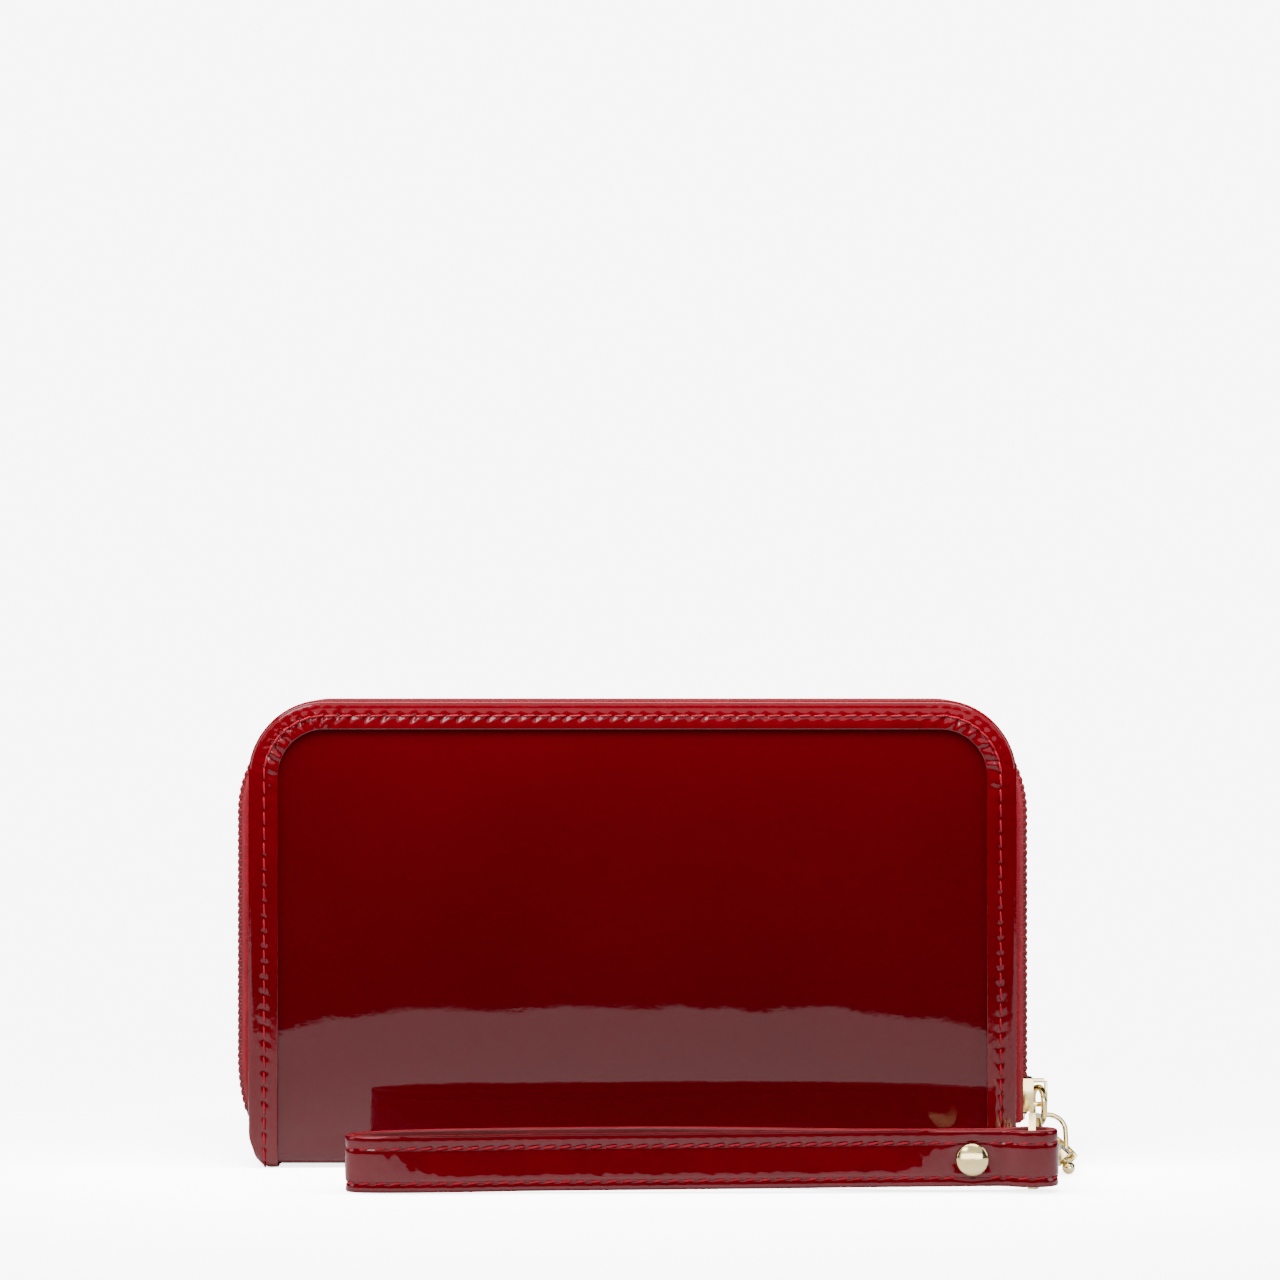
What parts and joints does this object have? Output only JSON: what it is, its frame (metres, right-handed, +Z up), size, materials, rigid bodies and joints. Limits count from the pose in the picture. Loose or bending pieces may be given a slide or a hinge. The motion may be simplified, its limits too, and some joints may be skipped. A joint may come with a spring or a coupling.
{
  "type": "zip around wallet",
  "caption": "Zip around wallet in patent leather with card pockets, a zipped coin pocket and a wristlet strap on a swivel clasp.",
  "frame": {"origin": "the middle of the spine's underside, on the surface the wallet stands on", "axes": "+X to the slider's side, +Y to the rear cover, +Z up to the zipped top edge"},
  "size_m": [0.199, 0.0717, 0.11],
  "materials": {
    "patent_leather": "high gloss patent",
    "patent_border": "high gloss patent",
    "pocket_leather": "smooth semi-gloss",
    "lining": "plain weave",
    "board": "plain",
    "thread": "twisted thread",
    "zip_tape": "woven tape",
    "zip_coil": "nylon coil",
    "gold_metal": "pale polished gold plate",
    "spring_steel": "drawn wire"
  },
  "bodies": {
    "wallet": {"front_panel": "patent_leather", "spine_panel": "patent_leather", "front_border": "patent_border", "spine_bands": "patent_border", "front_board": "board", "spine_board": "board", "front_lining": "lining", "spine_lining": "lining", "front_slip_pocket": "lining", "gusset_left": "lining", "gusset_right": "lining", "front_card_pocket_1": "pocket_leather", "front_card_pocket_2": "pocket_leather", "front_card_pocket_3": "pocket_leather", "front_stitching": "thread", "zip_tape_front": "zip_tape", "zip_coil_front": "zip_coil", "zip_stops_front": "gold_metal"},
    "rear_cover": {"rear_panel": "patent_leather", "rear_border": "patent_border", "rear_board": "board", "rear_lining": "lining", "rear_slip_pocket": "lining", "rear_card_pocket_1": "pocket_leather", "rear_card_pocket_2": "pocket_leather", "rear_card_pocket_3": "pocket_leather", "rear_stitching": "thread", "zip_tape_rear": "zip_tape", "zip_coil_rear": "zip_coil", "zip_stops_rear": "gold_metal"},
    "divider": {"coin_wall_front": "lining", "coin_wall_rear": "lining", "coin_seam": "pocket_leather", "coin_zip_tapes": "zip_tape", "coin_zip_coils": "zip_coil", "coin_zip_stops": "gold_metal"},
    "coin_slider": {"coin_slider": "gold_metal"},
    "coin_puller": {"coin_puller": "gold_metal"},
    "slider": {"slider": "gold_metal"},
    "puller": {"puller": "gold_metal"},
    "link_ring": {"link_ring": "gold_metal"},
    "clasp": {"clasp_claw": "gold_metal", "gate_pin": "gold_metal", "gate_spring": "spring_steel"},
    "gate": {"clasp_gate": "gold_metal"},
    "clasp_eye": {"clasp_eye": "gold_metal"},
    "strap": {"strap_outer": "patent_border", "strap_lining": "patent_leather", "strap_stitching": "thread", "rivet_cap": "gold_metal", "rivet_base": "gold_metal"}
  },
  "joints": [
    {"name": "cover_open", "type": "hinge", "parent": "wallet", "child": "rear_cover", "pos_m": [0, 0.0127, 0], "axis": [-1, 0, 0], "range_deg": [0, 60], "deforming": ["gusset_left", "gusset_right"]},
    {"name": "divider_swing", "type": "hinge", "parent": "wallet", "child": "divider", "pos_m": [0, 0.0127, 0], "axis": [-1, 0, 0], "range_deg": [0, 30]},
    {"name": "slider_travel", "type": "slide", "parent": "wallet", "child": "slider", "axis": [0, 0, 1], "range_m": [0, 0.06]},
    {"name": "puller_swing", "type": "hinge", "parent": "slider", "child": "puller", "pos_m": [0.09645, 0, 0.0178], "axis": [0.342, -0.9397, 0], "range_deg": [0, 80]},
    {"name": "link_swing", "type": "hinge", "parent": "puller", "child": "link_ring", "pos_m": [0.0972, -0.0005, 0.011], "axis": [-1, 0, 0], "range_deg": [0, 50]},
    {"name": "clasp_swing", "type": "hinge", "parent": "link_ring", "child": "clasp", "pos_m": [0.1023, -0.00526, 0.00301], "axis": [0.3771, 0.4631, 0.8021], "range_deg": [-5, 12]},
    {"name": "clasp_gate", "type": "hinge", "parent": "clasp", "child": "gate", "pos_m": [0.09894, -0.02153, 0.00434], "axis": [0.6564, -0.074, 0.7508], "range_deg": [0, 12], "stiffness_Nm_per_rad": 0.02, "springref_deg": -11.46},
    {"name": "clasp_swivel", "type": "hinge", "parent": "clasp", "child": "clasp_eye", "pos_m": [0.09, -0.0536, 0.009], "axis": [0.2257, 0.9688, -0.1019], "continuous": true},
    {"name": "strap_swing", "type": "hinge", "parent": "clasp_eye", "child": "strap", "pos_m": [0.09, -0.0536, 0.009], "axis": [0, 0, 1], "range_deg": [-5, 90]},
    {"name": "coin_slider_travel", "type": "slide", "parent": "divider", "child": "coin_slider", "axis": [-1, 0, 0], "range_m": [0, 0.13]},
    {"name": "coin_puller_swing", "type": "hinge", "parent": "coin_slider", "child": "coin_puller", "pos_m": [0.0664, 0, 0.0874], "axis": [0, 1, 0], "range_deg": [0, 120]}
  ],
  "couplings": [
    {"joint": "divider_swing", "follows": "cover_open", "ratio": 0.5}
  ]
}
